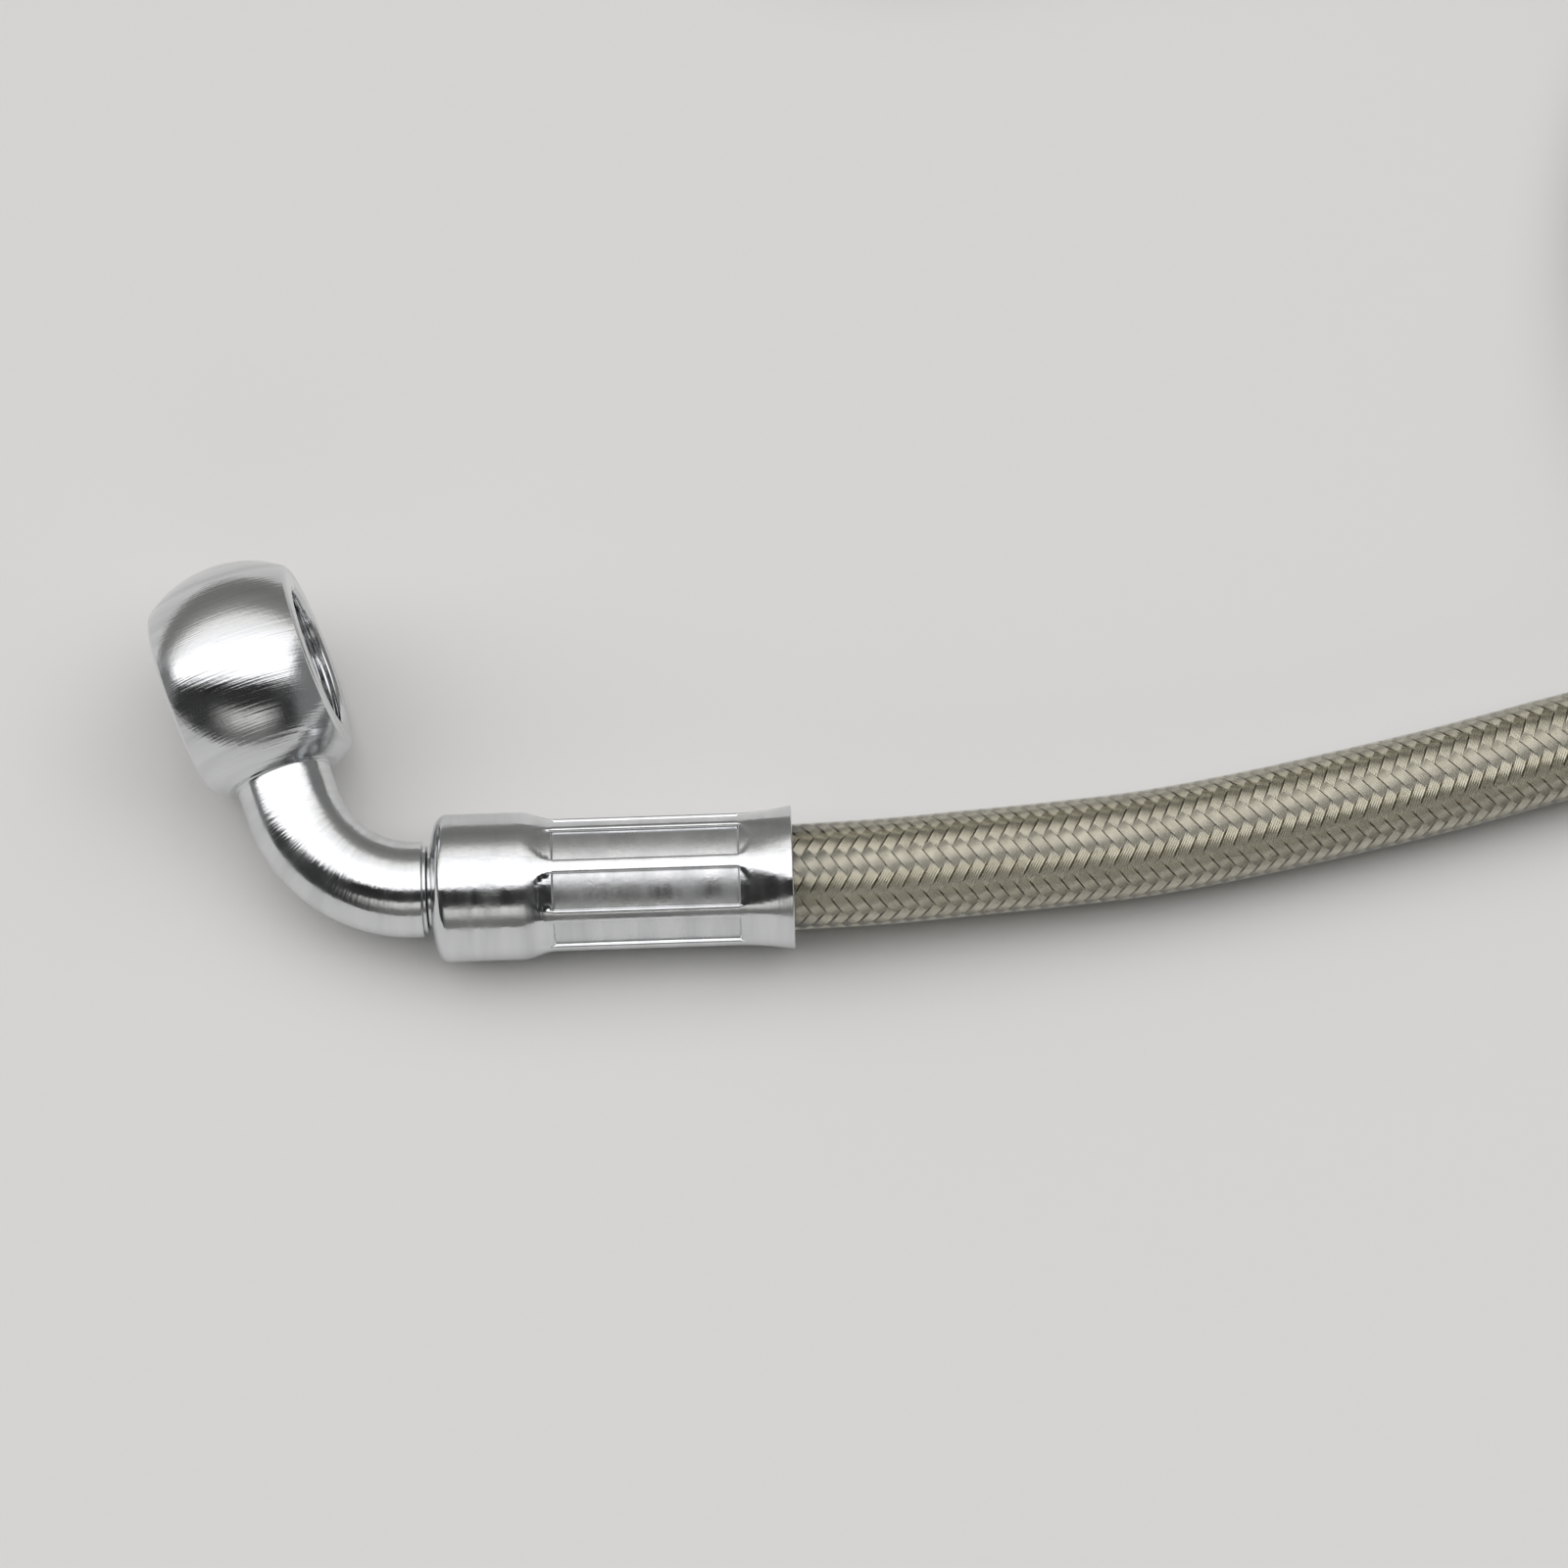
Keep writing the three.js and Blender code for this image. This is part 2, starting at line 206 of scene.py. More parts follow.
# Camera, at the photograph's angle
CAMERA_TILT = math.radians(25)
CAMERA_ROLL = math.radians(1.9)
CAMERA_DISTANCE = 0.414
LENS = 135
SENSOR = 36
NEAREST = 0.01
FARTHEST = 20
AIM_ALONG = -0.44
AIM_UP = 6.57

# Floor and studio light, whose bands are in degrees from overhead, the far side positive
FLOOR_COLOUR = (0.8, 0.8, 0.79)
FLOOR_ROUGHNESS = 0.75
FLOOR_REACH = 3.0
SKY_BANDS = [
    (-92, 0.16), (-76, 0.2), (-66, 0.65), (-58, 0.85), (-53, 0.03), (-28, 0.02), (-22, 1.6), (5, 1.75),
    (20, 1.35), (38, 0.95), (44, 0.55), (52, 0.28), (70, 0.2), (92, 0.25),
]
WARM_GREEN = 0.985
WARM_BLUE = 0.95
WHITE_BLUE = 0.99
NEAR_DARK = 0.04
NEAR_SIDE = -math.radians(40)
NEAR_DARK_SPREAD = (0.2, 0.55)
BACKDROP = 0.2
WHITE_TO_RIGHT = (0.66, 0.78)
WHITE_TO_LEFT = (-0.93, -0.98)

# Finishes
NOISE_ROUGHNESS = 0.55
NOISE_SPAN = (0.3, 0.7)
ZINC_COLOUR = (0.74, 0.75, 0.765)
ZINC_SHADE = (0.6364, 0.6525, 0.6579)
ZINC_SHADED = (0.35, 0.75)
ZINC_STREAK = (-0.05, 0.07)
ZINC_DULL = (-0.03, 0.08)
ZINC_WEAR_DEPTH = 0.022
MARKS_AROUND = 3.0
STREAK_ALONG = 0.16
STREAK_AROUND = 0.6
PATCH_SCALE = 260.0
GRAIN_SCALE = 2600.0
GRAIN_HEIGHT = 0.35
SCRATCH_SCALE = 420.0
SCRATCH_WIDTH = 0.018
SCRATCH_HEIGHT = 0.15
SCRATCHED = (0.56, 0.66)
DULLED = (0.35, 0.75)
WIRE_COLOUR = (0.81, 0.78, 0.67)
WIRE_SHADE = (0.55, 0.52, 0.42)
WIRE_ROUGHNESS = (0.16, 0.28)
WIRE_FLECK_SCALE = 900.0
STRAND_RELIEF = WIRE_PITCH / 10
LINER_COLOUR = (0.9, 0.89, 0.85)
LINER_ROUGHNESS = (0.4, 0.55)
LINER_CLOUD_SCALE = 300.0
JACKET_COLOUR = (0.985, 0.985, 0.95)
JACKET_ROUGHNESS = 0.03
JACKET_IOR = 1.5
JACKET_RIPPLE_SCALE = 160.0
JACKET_RIPPLE_DEPTH = 0.006
STRAP_COLOUR = (0.03, 0.03, 0.035)
STRAP_ROUGHNESS = 0.8
STRAP_WEAVE_SCALE = 900.0
STRAP_WEAVE_DEPTH = 0.08

near_low, near_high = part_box("near_ferrule")
far_low, far_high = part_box("far_ferrule")
MOUTH = Vector((near_high[0], (near_low[1] + near_high[1]) / 2, 0))
FAR_MOUTH = Vector((far_high[0], (far_low[1] + far_high[1]) / 2, 0))


# Camera
def add_camera():
    back = Vector((0, -math.sin(CAMERA_TILT), math.cos(CAMERA_TILT)))
    up_flat = Vector((0, math.cos(CAMERA_TILT), math.sin(CAMERA_TILT)))
    along = Vector((1, 0, 0))
    right = math.cos(CAMERA_ROLL) * along - math.sin(CAMERA_ROLL) * up_flat
    up = math.sin(CAMERA_ROLL) * along + math.cos(CAMERA_ROLL) * up_flat
    axis_height = Vector((0, 0, COLLAR_RADIUS * MM))
    aim = MOUTH + axis_height + AIM_ALONG * MM * along + AIM_UP * MM * up_flat
    data = bpy.data.cameras.new("camera")
    data.lens = LENS
    data.sensor_width = SENSOR
    data.clip_start = NEAREST
    data.clip_end = FARTHEST
    camera = bpy.data.objects.new("camera", data)
    rotation = Matrix((right, up, back)).transposed().to_4x4()
    camera.matrix_world = Matrix.Translation(aim + CAMERA_DISTANCE * back) @ rotation
    bpy.context.scene.collection.objects.link(camera)
    bpy.context.scene.camera = camera


# Curves and grids
def ease(value):
    value = np.clip(value, 0, 1)
    return value * value * (3 - 2 * value)


def smooth_line(points, spacing):
    """A smooth curve through the points, cut into even steps."""
    points = np.array(points, float)
    points = np.vstack([2 * points[0] - points[1], points, 2 * points[-1] - points[-2]])
    chords = np.linalg.norm(np.diff(points, axis=0), axis=1)
    knots = np.concatenate([[0], np.cumsum(np.sqrt(chords))])
    dense = []
    for i in range(1, len(points) - 2):
        p0, p1, p2, p3 = points[i - 1:i + 3]
        t0, t1, t2, t3 = knots[i - 1:i + 3]
        t = np.linspace(t1, t2, CURVE_STEPS, endpoint=False)[:, None]
        a1 = (t1 - t) / (t1 - t0) * p0 + (t - t0) / (t1 - t0) * p1
        a2 = (t2 - t) / (t2 - t1) * p1 + (t - t1) / (t2 - t1) * p2
        a3 = (t3 - t) / (t3 - t2) * p2 + (t - t2) / (t3 - t2) * p3
        b1 = (t2 - t) / (t2 - t0) * a1 + (t - t0) / (t2 - t0) * a2
        b2 = (t3 - t) / (t3 - t1) * a2 + (t - t1) / (t3 - t1) * a3
        dense.append((t2 - t) / (t2 - t1) * b1 + (t - t1) / (t2 - t1) * b2)
    dense = np.vstack(dense + [points[-2:-1]])
    length = np.concatenate([[0], np.cumsum(np.linalg.norm(np.diff(dense, axis=0), axis=1))])
    even = np.linspace(0, length[-1], int(length[-1] / spacing) + 1)
    return np.column_stack([np.interp(even, length, dense[:, k]) for k in range(3)])


class Centreline:
    """A line through space with a frame that doesn't twist, read by distance along it in millimetres."""

    def __init__(self, points):
        self.points = points
        steps = np.linalg.norm(np.diff(points, axis=0), axis=1)
        self.distance = np.concatenate([[0], np.cumsum(steps)])
        self.length = self.distance[-1]
        tangent = np.gradient(points, axis=0)
        self.tangent = tangent / np.linalg.norm(tangent, axis=1)[:, None]
        normal = np.array([0.0, 0.0, 1.0])
        normals = []
        for direction in self.tangent:
            normal = normal - direction * normal.dot(direction)
            normal = normal / np.linalg.norm(normal)
            normals.append(normal)
        self.normal = np.array(normals)
        self.side = np.cross(self.tangent, self.normal)

    def surface(self, distance, angle, radius):
        distance, angle, radius = np.broadcast_arrays(distance, angle, radius)
        flat = distance.ravel()

        def read(values):
            return np.column_stack([np.interp(flat, self.distance, values[:, k]) for k in range(3)])

        beyond = (flat - np.clip(flat, 0, self.length))[:, None]
        ends = np.where(beyond < 0, self.tangent[0], self.tangent[-1])
        around = np.cos(angle.ravel())[:, None] * read(self.normal)
        around = around + np.sin(angle.ravel())[:, None] * read(self.side)
        spot = read(self.points) + beyond * ends + radius.ravel()[:, None] * around
        return spot.reshape(distance.shape + (3,))


def mesh_piece(name, spots, faces, marks=None):
    """A smooth mesh from points in millimetres, with a UV map of places on its surface."""
    mesh = bpy.data.meshes.new(name)
    mesh.from_pydata((np.asarray(spots) * MM).tolist(), [], faces)
    if marks is not None:
        layer = mesh.uv_layers.new(name="marks")
        index = np.zeros(len(mesh.loops), dtype=np.int64)
        mesh.loops.foreach_get("vertex_index", index)
        layer.data.foreach_set("uv", np.asarray(marks, float)[index].ravel())
    mesh.polygons.foreach_set("use_smooth", [True] * len(mesh.polygons))
    mesh.update()
    piece = bpy.data.objects.new(name, mesh)
    bpy.context.scene.collection.objects.link(piece)
    return piece


def grid_faces(rows, columns, wrap_columns=True, wrap_rows=False, start=0):
    faces = []
    for row in range(rows if wrap_rows else rows - 1):
        here = start + row * columns
        there = start + ((row + 1) % rows) * columns
        for column in range(columns if wrap_columns else columns - 1):
            beside = (column + 1) % columns
            faces.append((here + column, here + beside, there + beside, there + column))
    return faces


def round_corners(outline, size, steps=4, least=math.radians(18)):
    """Rounds the sharp corners of an outline of (station, radius) points."""
    outline = [Vector(point) for point in outline]
    rounded = [outline[0]]
    for before, corner, after in zip(outline, outline[1:], outline[2:]):
        back = before - corner
        ahead = after - corner
        if back.length == 0 or ahead.length == 0 or math.pi - back.angle(ahead) < least:
            rounded.append(corner)
            continue
        start = corner + back.normalized() * min(size, MOST_OF_SIDE * back.length)
        end = corner + ahead.normalized() * min(size, MOST_OF_SIDE * ahead.length)
        for step in range(steps + 1):
            t = step / steps
            rounded.append((1 - t) ** 2 * start + 2 * t * (1 - t) * corner + t * t * end)
    rounded.append(outline[-1])
    return [tuple(point) for point in rounded]


def spread_rows(outline, most):
    """Adds points to an outline, so that no step is longer than most."""
    filled = [outline[0]]
    for start, end in zip(outline, outline[1:]):
        parts = max(1, math.ceil(math.dist(start, end) / most))
        step = np.subtract(end, start)
        filled += [tuple(np.add(start, step * part / parts)) for part in range(1, parts + 1)]
    return filled


def face_out(piece):
    """Turns the faces outwards, whichever way the grid was wound."""
    mesh = piece.data
    spots = np.zeros(len(mesh.vertices) * 3)
    mesh.vertices.foreach_get("co", spots)
    spots = spots.reshape(-1, 3)
    mesh.calc_loop_triangles()
    corners = np.zeros(len(mesh.loop_triangles) * 3, dtype=np.int64)
    mesh.loop_triangles.foreach_get("vertices", corners)
    a, b, c = (spots[corners.reshape(-1, 3)[:, k]] for k in range(3))
    if np.einsum("ij,ij->i", a, np.cross(b, c)).sum() < 0:
        mesh.flip_normals()


# Hose centreline: free stretch, coil and tail
def coil_height(turned):
    climb = LAYER_STEP * ease((turned - CLIMB_START) / (CLIMB_END - CLIMB_START))
    off_tie = (turned - TIE_TURN + math.pi) % TURN - math.pi
    lift = TIE_LIFT * (1 - ease(abs(off_tie) / TIE_LIFT_SPREAD))
    return FLOOR_LAYER + climb + lift


def coil_points():
    points = []
    for i in range(COIL_STEPS + 1):
        turned = COIL_ENTRY + (COIL_EXIT - COIL_ENTRY) * i / COIL_STEPS
        across = COIL_RADIUS * math.cos(turned)
        up = COIL_RADIUS * math.sin(turned)
        points.append((COIL_CENTRE[0] + across, COIL_CENTRE[1] + up, float(coil_height(turned))))
    return points


def hose_centreline():
    start = np.array([MOUTH.x, MOUTH.y, 0]) / MM
    return Centreline(smooth_line(np.array(FREE_ROUTE + coil_points() + TAIL_ROUTE) + start, LINE_STEP))


# Shared shader effects
def new_group(name, inputs, outputs):
    group = bpy.data.node_groups.new(name, "ShaderNodeTree")
    for label, kind in inputs:
        group.interface.new_socket(name=label, in_out="INPUT", socket_type=kind)
    for label, kind in outputs:
        group.interface.new_socket(name=label, in_out="OUTPUT", socket_type=kind)
    entry = group.nodes.new("NodeGroupInput")
    leave = group.nodes.new("NodeGroupOutput")
    return group, entry, leave


def math_node(tree, operation, first, second=None, clamp=False):
    node = tree.nodes.new("ShaderNodeMath")
    node.operation = operation
    node.use_clamp = clamp
    for socket, value in zip(node.inputs, (first, second)):
        if value is None:
            continue
        if isinstance(value, (int, float)):
            socket.default_value = value
        else:
            tree.links.new(value, socket)
    return node.outputs[0]


def noise_node(tree, vector, scale, detail=3.0, dimensions="3D"):
    node = tree.nodes.new("ShaderNodeTexNoise")
    node.noise_dimensions = dimensions
    node.inputs["Scale"].default_value = scale
    node.inputs["Detail"].default_value = detail
    node.inputs["Roughness"].default_value = NOISE_ROUGHNESS
    tree.links.new(vector, node.inputs["Vector"])
    return node.outputs["Fac"]


def ranged(tree, value, span, new_span):
    """Maps a value from one span to another, held at both ends."""
    node = tree.nodes.new("ShaderNodeMapRange")
    node.inputs["From Min"].default_value = span[0]
    node.inputs["From Max"].default_value = span[1]
    node.inputs["To Min"].default_value = new_span[0]
    node.inputs["To Max"].default_value = new_span[1]
    tree.links.new(value, node.inputs["Value"])
    return node.outputs["Result"]


def paired_vector(tree, first, second):
    node = tree.nodes.new("ShaderNodeCombineXYZ")
    tree.links.new(first, node.inputs[0])
    tree.links.new(second, node.inputs[1])
    return node.outputs[0]


def split_vector(tree, vector):
    node = tree.nodes.new("ShaderNodeSeparateXYZ")
    tree.links.new(vector, node.inputs[0])
    return node.outputs


def bump_node(tree, height, depth, under=None):
    node = tree.nodes.new("ShaderNodeBump")
    node.inputs["Strength"].default_value = 1.0
    node.inputs["Distance"].default_value = depth * MM
    tree.links.new(height, node.inputs["Height"])
    if under is not None:
        tree.links.new(under, node.inputs["Normal"])
    return node


def mixed_colour(tree, factor, first, second):
    node = tree.nodes.new("ShaderNodeMix")
    node.data_type = "RGBA"
    node.inputs["A"].default_value = (*first, 1)
    node.inputs["B"].default_value = (*second, 1)
    tree.links.new(factor, node.inputs["Factor"])
    return node.outputs["Result"]


def turning_marks_group():
    """Fine lines left by the lathe, round the axis of whatever was turned."""
    group, entry, leave = new_group(
        "turning marks",
        [("Marks", "NodeSocketVector"), ("Lines per mm", "NodeSocketFloat")],
        [("Height", "NodeSocketFloat"), ("Streak", "NodeSocketFloat")],
    )
    marks = split_vector(group, entry.outputs["Marks"])
    along = math_node(group, "MULTIPLY", marks[0], entry.outputs["Lines per mm"])
    around = math_node(group, "MULTIPLY", marks[1], MARKS_AROUND)
    lines = noise_node(group, paired_vector(group, along, around), 1.0, 2.0, "2D")
    slow_along = math_node(group, "MULTIPLY", along, STREAK_ALONG)
    slow_around = math_node(group, "MULTIPLY", around, STREAK_AROUND)
    streak = noise_node(group, paired_vector(group, slow_along, slow_around), 1.0, 3.0, "2D")
    group.links.new(lines, leave.inputs["Height"])
    group.links.new(streak, leave.inputs["Streak"])
    return group


def handling_group():
    """Small scratches, grain and dull patches from plating and handling."""
    group, entry, leave = new_group(
        "handling",
        [("Position", "NodeSocketVector")],
        [("Height", "NodeSocketFloat"), ("Dull", "NodeSocketFloat")],
    )
    patches = noise_node(group, entry.outputs["Position"], PATCH_SCALE, 4.0)
    grain = noise_node(group, entry.outputs["Position"], GRAIN_SCALE, 2.0)
    cells = group.nodes.new("ShaderNodeTexVoronoi")
    cells.feature = "DISTANCE_TO_EDGE"
    cells.inputs["Scale"].default_value = SCRATCH_SCALE
    group.links.new(entry.outputs["Position"], cells.inputs["Vector"])
    scratch = ranged(group, cells.outputs["Distance"], (0.0, SCRATCH_WIDTH), (1.0, 0.0))
    where = ranged(group, patches, SCRATCHED, (0.0, SCRATCH_HEIGHT))
    scratch = math_node(group, "MULTIPLY", scratch, where)
    height = math_node(group, "SUBTRACT", math_node(group, "MULTIPLY", grain, GRAIN_HEIGHT), scratch)
    group.links.new(height, leave.inputs["Height"])
    group.links.new(ranged(group, patches, DULLED, (0.0, 1.0)), leave.inputs["Dull"])
    return group


def place_group(tree, group, label, value):
    node = tree.nodes.new("ShaderNodeGroup")
    node.node_tree = group
    tree.links.new(value, node.inputs[label])
    return node


# Materials
def new_material(name):
    material = bpy.data.materials.new(name)
    material.use_nodes = True
    tree = material.node_tree
    return material, tree, tree.nodes["Principled BSDF"]


def object_place(tree):
    return tree.nodes.new("ShaderNodeTexCoord").outputs["Object"]


def surface_place(tree):
    node = tree.nodes.new("ShaderNodeUVMap")
    node.uv_map = "marks"
    return node.outputs["UV"]


def zinc_material(name, lines_per_mm, mark_depth, roughness=0.13):
    material, tree, shader = new_material(name)
    marks = place_group(tree, marks_group, "Marks", surface_place(tree))
    marks.inputs["Lines per mm"].default_value = lines_per_mm
    wear = place_group(tree, wear_group, "Position", object_place(tree))
    streak = ranged(tree, marks.outputs["Streak"], NOISE_SPAN, ZINC_STREAK)
    dull = ranged(tree, wear.outputs["Dull"], (0.0, 1.0), ZINC_DULL)
    rough = math_node(tree, "ADD", math_node(tree, "ADD", streak, roughness), dull)
    shade = ranged(tree, marks.outputs["Streak"], ZINC_SHADED, (0.0, 1.0))
    turned = bump_node(tree, marks.outputs["Height"], mark_depth)
    worn = bump_node(tree, wear.outputs["Height"], ZINC_WEAR_DEPTH, turned.outputs["Normal"])
    tree.links.new(mixed_colour(tree, shade, ZINC_COLOUR, ZINC_SHADE), shader.inputs["Base Color"])
    tree.links.new(rough, shader.inputs["Roughness"])
    tree.links.new(worn.outputs["Normal"], shader.inputs["Normal"])
    shader.inputs["Metallic"].default_value = 1.0
    return material


def wire_material(name, relief):
    """Stainless wire. Strands without wires of their own get them as a relief across the strand."""
    material, tree, shader = new_material(name)
    fleck = noise_node(tree, object_place(tree), WIRE_FLECK_SCALE, 2.0)
    tree.links.new(mixed_colour(tree, fleck, WIRE_COLOUR, WIRE_SHADE), shader.inputs["Base Color"])
    tree.links.new(ranged(tree, fleck, NOISE_SPAN, WIRE_ROUGHNESS), shader.inputs["Roughness"])
    shader.inputs["Metallic"].default_value = 1.0
    if relief:
        across = split_vector(tree, surface_place(tree))[0]
        wave = math_node(tree, "COSINE", math_node(tree, "MULTIPLY", across, TURN))
        bump = bump_node(tree, wave, relief)
        bump.invert = True
        tree.links.new(bump.outputs["Normal"], shader.inputs["Normal"])
    return material


def liner_material():
    material, tree, shader = new_material("liner")
    cloud = noise_node(tree, object_place(tree), LINER_CLOUD_SCALE)
    tree.links.new(ranged(tree, cloud, NOISE_SPAN, LINER_ROUGHNESS), shader.inputs["Roughness"])
    shader.inputs["Base Color"].default_value = (*LINER_COLOUR, 1)
    return material


def jacket_material():
    material, tree, shader = new_material("clear jacket")
    ripple = noise_node(tree, object_place(tree), JACKET_RIPPLE_SCALE, 2.0)
    bump = bump_node(tree, ripple, JACKET_RIPPLE_DEPTH)
    tree.links.new(bump.outputs["Normal"], shader.inputs["Normal"])
    shader.inputs["Base Color"].default_value = (*JACKET_COLOUR, 1)
    shader.inputs["Roughness"].default_value = JACKET_ROUGHNESS
    shader.inputs["IOR"].default_value = JACKET_IOR
    shader.inputs["Transmission Weight"].default_value = 1.0
    return material


def strap_material():
    material, tree, shader = new_material("strap")
    weave = tree.nodes.new("ShaderNodeTexWave")
    weave.inputs["Scale"].default_value = STRAP_WEAVE_SCALE
    tree.links.new(object_place(tree), weave.inputs["Vector"])
    bump = bump_node(tree, weave.outputs["Fac"], STRAP_WEAVE_DEPTH)
    tree.links.new(bump.outputs["Normal"], shader.inputs["Normal"])
    shader.inputs["Base Color"].default_value = (*STRAP_COLOUR, 1)
    shader.inputs["Roughness"].default_value = STRAP_ROUGHNESS
    return material


# Banjo fittings
def fitting_axes(bend):
    towards_eye = np.array([-math.cos(bend), math.sin(bend), 0.0])
    inward = np.array([math.sin(bend), math.cos(bend), 0.0])
    return towards_eye, inward


def neck_place(distance, bend, to_eye):
    """Middle and axes of the section at a distance from the eye's middle, along the bent neck."""
    towards_eye, inward = fitting_axes(bend)
    setback = BEND_RADIUS * math.tan(bend / 2)
    corner = np.array([-CORNER_TO_FERRULE, 0.0, 0.0])
    up = np.array([0.0, 0.0, 1.0])
    straight = to_eye - setback
    if distance <= straight:
        return corner + towards_eye * (to_eye - distance), inward, up
    arc = BEND_RADIUS * bend
    if distance < straight + arc:
        turned = (distance - straight) / BEND_RADIUS
        middle = corner + towards_eye * (setback - BEND_RADIUS * math.sin(turned))
        middle = middle + inward * BEND_RADIUS * (1 - math.cos(turned))
        return middle, inward * math.cos(turned) + towards_eye * math.sin(turned), up
    along_x = setback + distance - straight - arc
    return corner + np.array([along_x, 0.0, 0.0]), np.array([0.0, 1.0, 0.0]), up


def turned_piece(name, outline, place, segments):
    """A body turned round a line. Outline is (station, radius), and place gives a station's axes."""
    spots = []
    marks = []
    travelled = 0.0
    last = outline[0]
    for station, radius in outline:
        travelled += math.dist(last, (station, radius))
        last = (station, radius)
        middle, across, up = place(station)
        for i in range(segments):
            angle = TURN * i / segments
            spots.append(middle + radius * (math.cos(angle) * across + math.sin(angle) * up))
            marks.append((travelled, i / segments))
    faces = grid_faces(len(outline), segments)
    faces.append(tuple(range(segments))[::-1])
    faces.append(tuple((len(outline) - 1) * segments + i for i in range(segments)))
    return mesh_piece(name, spots, faces, marks)


def swept_piece(name, outline, bend, to_eye, segments):
    def place(distance):
        return neck_place(distance, bend, to_eye)

    return turned_piece(name, outline, place, segments)


def banjo_outline(bend, to_eye):
    """Outline of ball, neck, stem and nipple, and the distance from the eye's middle to the ferrule."""
    setback = BEND_RADIUS * math.tan(bend / 2)
    stem = to_eye - setback + BEND_RADIUS * bend + CORNER_TO_FERRULE - setback
    first = math.acos(BALL_CROWN / BALL_RADIUS)
    last = math.pi - math.acos(BALL_FOOT / BALL_RADIUS)
    outline = [(-BALL_CROWN, NEAR_AXIS)]
    for angle in np.linspace(first, last, BALL_STEPS + 1):
        outline.append((-BALL_RADIUS * math.cos(angle), BALL_RADIUS * math.sin(angle)))
    neck_end = stem - 2 * RECESS_LENGTH
    outline += [(BALL_FOOT, NECK_RADIUS), (neck_end, NECK_RADIUS), (neck_end, RECESS_RADIUS)]
    outline += [(stem - RECESS_LENGTH, RECESS_RADIUS), (stem - RECESS_LENGTH, GROOVE_RADIUS)]
    outline += [(stem + SHOULDER_START, GROOVE_RADIUS), (stem + SHOULDER_START, SHOULDER_RADIUS)]
    outline += [(stem + SHOULDER_END, SHOULDER_RADIUS), (stem + SHOULDER_END, NIPPLE_RADIUS)]
    for i in range(BARB_COUNT):
        barb = stem + BARB_START + i * BARB_PITCH
        outline += [(barb, BARB_RADIUS), (barb + BARB_PITCH / 2, NIPPLE_RADIUS)]
    tip = stem + NIPPLE_TIP
    outline += [(tip - TIP_CHAMFER, NIPPLE_RADIUS), (tip, NIPPLE_RADIUS - TIP_CHAMFER)]
    return spread_rows(round_corners(outline, TURNED_CORNER), TURNED_STEP), stem


def eye_cutter(name, bend, to_eye, twist):
    """What is cut from the ball: the bore, its chamfers and the two sealing faces."""
    towards_eye, inward = fitting_axes(bend)
    bore = inward * math.cos(twist) + np.array([0, 0, 1.0]) * math.sin(twist)
    third = np.cross(towards_eye, bore)
    middle = np.array([-CORNER_TO_FERRULE, 0, 0]) + towards_eye * to_eye
    half = EYE_WIDTH / 2
    face_edge = math.sqrt(BALL_RADIUS ** 2 - half ** 2)
    lowered = half - FACE_EDGE_DROP
    upper = [
        (0.0, BORE_RADIUS), (half - BORE_CHAMFER, BORE_RADIUS), (half, BORE_RADIUS + BORE_CHAMFER),
        (half, face_edge - FACE_EDGE_INSIDE), (lowered, face_edge + FACE_EDGE_OUTSIDE),
        (lowered, BALL_RADIUS + PAST_BALL), (half + ABOVE_FACE, BALL_RADIUS + PAST_BALL),
        (half + ABOVE_FACE, NEAR_AXIS),
    ]
    lower = [(-height, radius) for height, radius in upper[:0:-1]]
    outline = spread_rows(round_corners(lower + upper, BORED_CORNER, steps=3), BORED_STEP)

    def place(height):
        return middle + bore * height, towards_eye, third

    return turned_piece(name, outline, place, BORED_SEGMENTS)


def cut(piece, cutter):
    face_out(piece)
    face_out(cutter)
    cutter.data.materials.append(zinc_bored)
    modifier = piece.modifiers.new("cut", "BOOLEAN")
    modifier.operation = "DIFFERENCE"
    modifier.solver = "MANIFOLD"
    modifier.material_mode = "TRANSFER"
    modifier.object = cutter
    depsgraph = bpy.context.evaluated_depsgraph_get()
    result = bpy.data.meshes.new_from_object(piece.evaluated_get(depsgraph))
    piece.modifiers.clear()
    old = piece.data
    piece.data = result
    bpy.data.meshes.remove(old)
    bpy.data.objects.remove(cutter)


def banjo_piece(name, bend, to_eye, twist, place):
    outline, stem = banjo_outline(bend, to_eye)
    piece = swept_piece(name, outline, bend, to_eye, TURNED_SEGMENTS)
    piece.data.materials.append(zinc_turned)
    cut(piece, eye_cutter(name + "_eye_cut", bend, to_eye, twist))
    passage = [(PASSAGE_START, PASSAGE_RADIUS), (stem + NIPPLE_TIP + PAST_TIP, PASSAGE_RADIUS)]
    passage = spread_rows(passage, PASSAGE_STEP)
    cut(piece, swept_piece(name + "_passage", passage, bend, to_eye, PASSAGE_SEGMENTS))
    piece.data.transform(place)
    piece.data.set_sharp_from_angle(angle=SHARP_TURNED)
    return piece


def closed_end(mouth):
    return Matrix.Translation(mouth + Vector((-FERRULE_LENGTH, 0, COLLAR_RADIUS)) * MM)


def near_place():
    """The bent fitting rolls about its ferrule until its ball rests on the floor."""
    reach = CORNER_TO_EYE * math.sin(BEND)
    roll = math.asin((BALL_RADIUS - COLLAR_RADIUS) / reach)
    return closed_end(MOUTH) @ Matrix.Rotation(roll, 4, "X")


def far_place():
    return closed_end(FAR_MOUTH) @ Matrix.Rotation(math.pi / 2, 4, "X")


